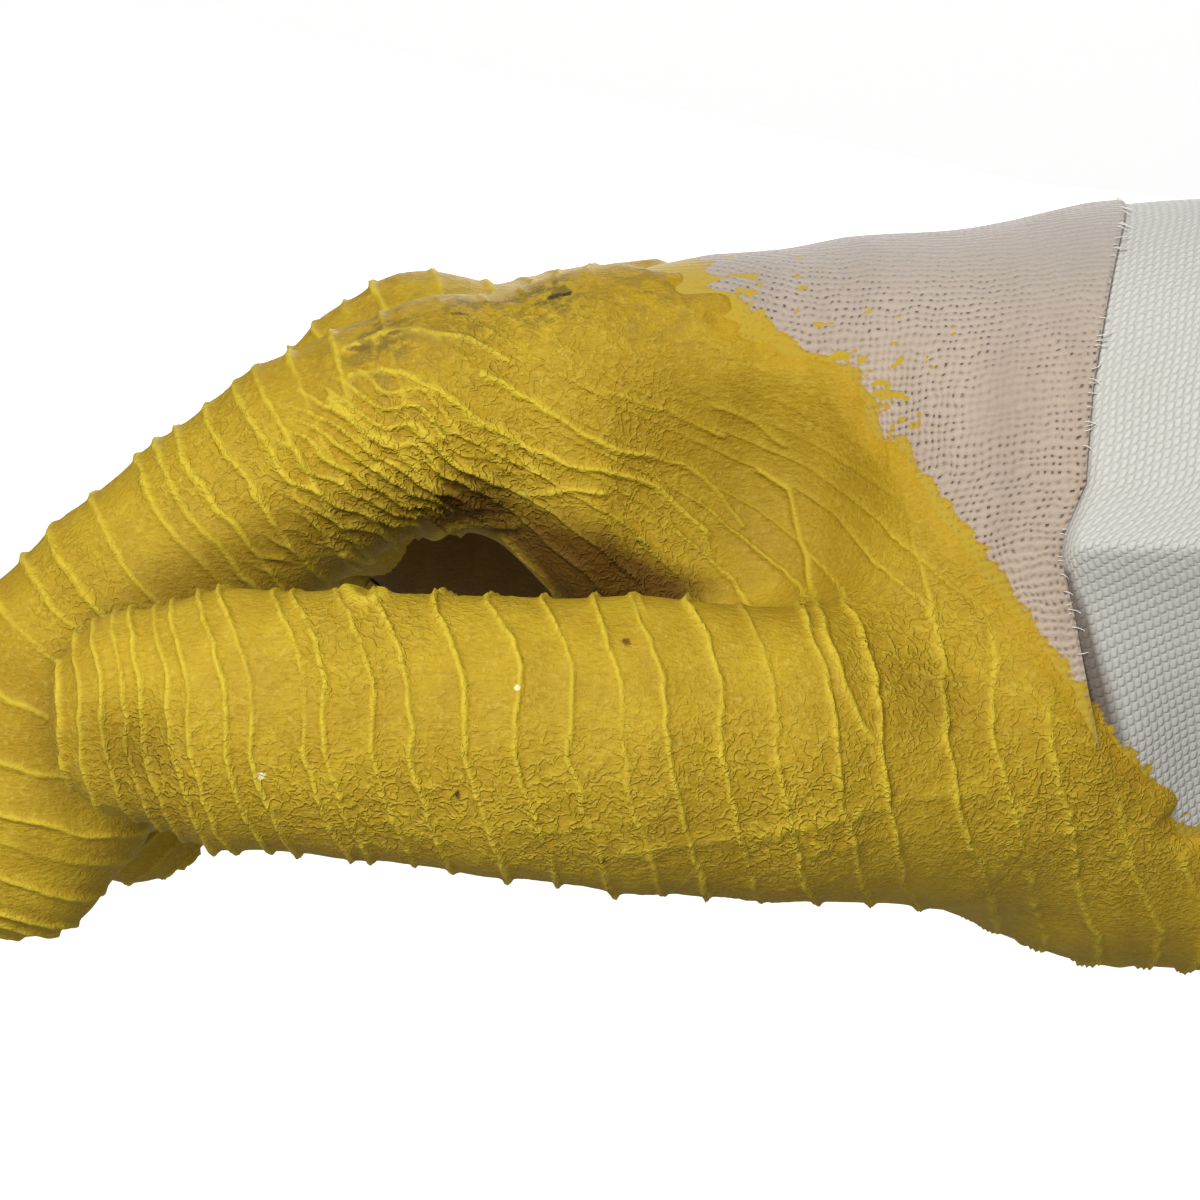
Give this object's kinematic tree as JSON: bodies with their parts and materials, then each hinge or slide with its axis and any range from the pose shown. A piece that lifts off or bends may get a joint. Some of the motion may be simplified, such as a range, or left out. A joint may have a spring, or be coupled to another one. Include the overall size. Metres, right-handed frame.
{
  "type": "latex-dipped work glove",
  "caption": "Right-hand work glove in a relaxed grip: crinkled rubber coating dipped over a knitted jersey glove, bare knit on the back, and a sewn canvas cuff.",
  "frame": {"origin": "middle of the cuff's mouth, where the hand goes in", "axes": "+X out of the cuff's mouth along the forearm, fingers towards -X; +Z at the back of the hand; thumb towards -Y"},
  "size_m": [0.2124, 0.1274, 0.0978],
  "materials": {
    "latex": "matt crinkled natural rubber, yellow",
    "jersey": "knitted cotton jersey, undyed beige",
    "canvas": "heavy cotton twill, off-white"
  },
  "bodies": {
    "root": {"latex_coating": "latex", "jersey_liner": "jersey", "canvas_cuff": "canvas"}
  },
  "joints": []
}
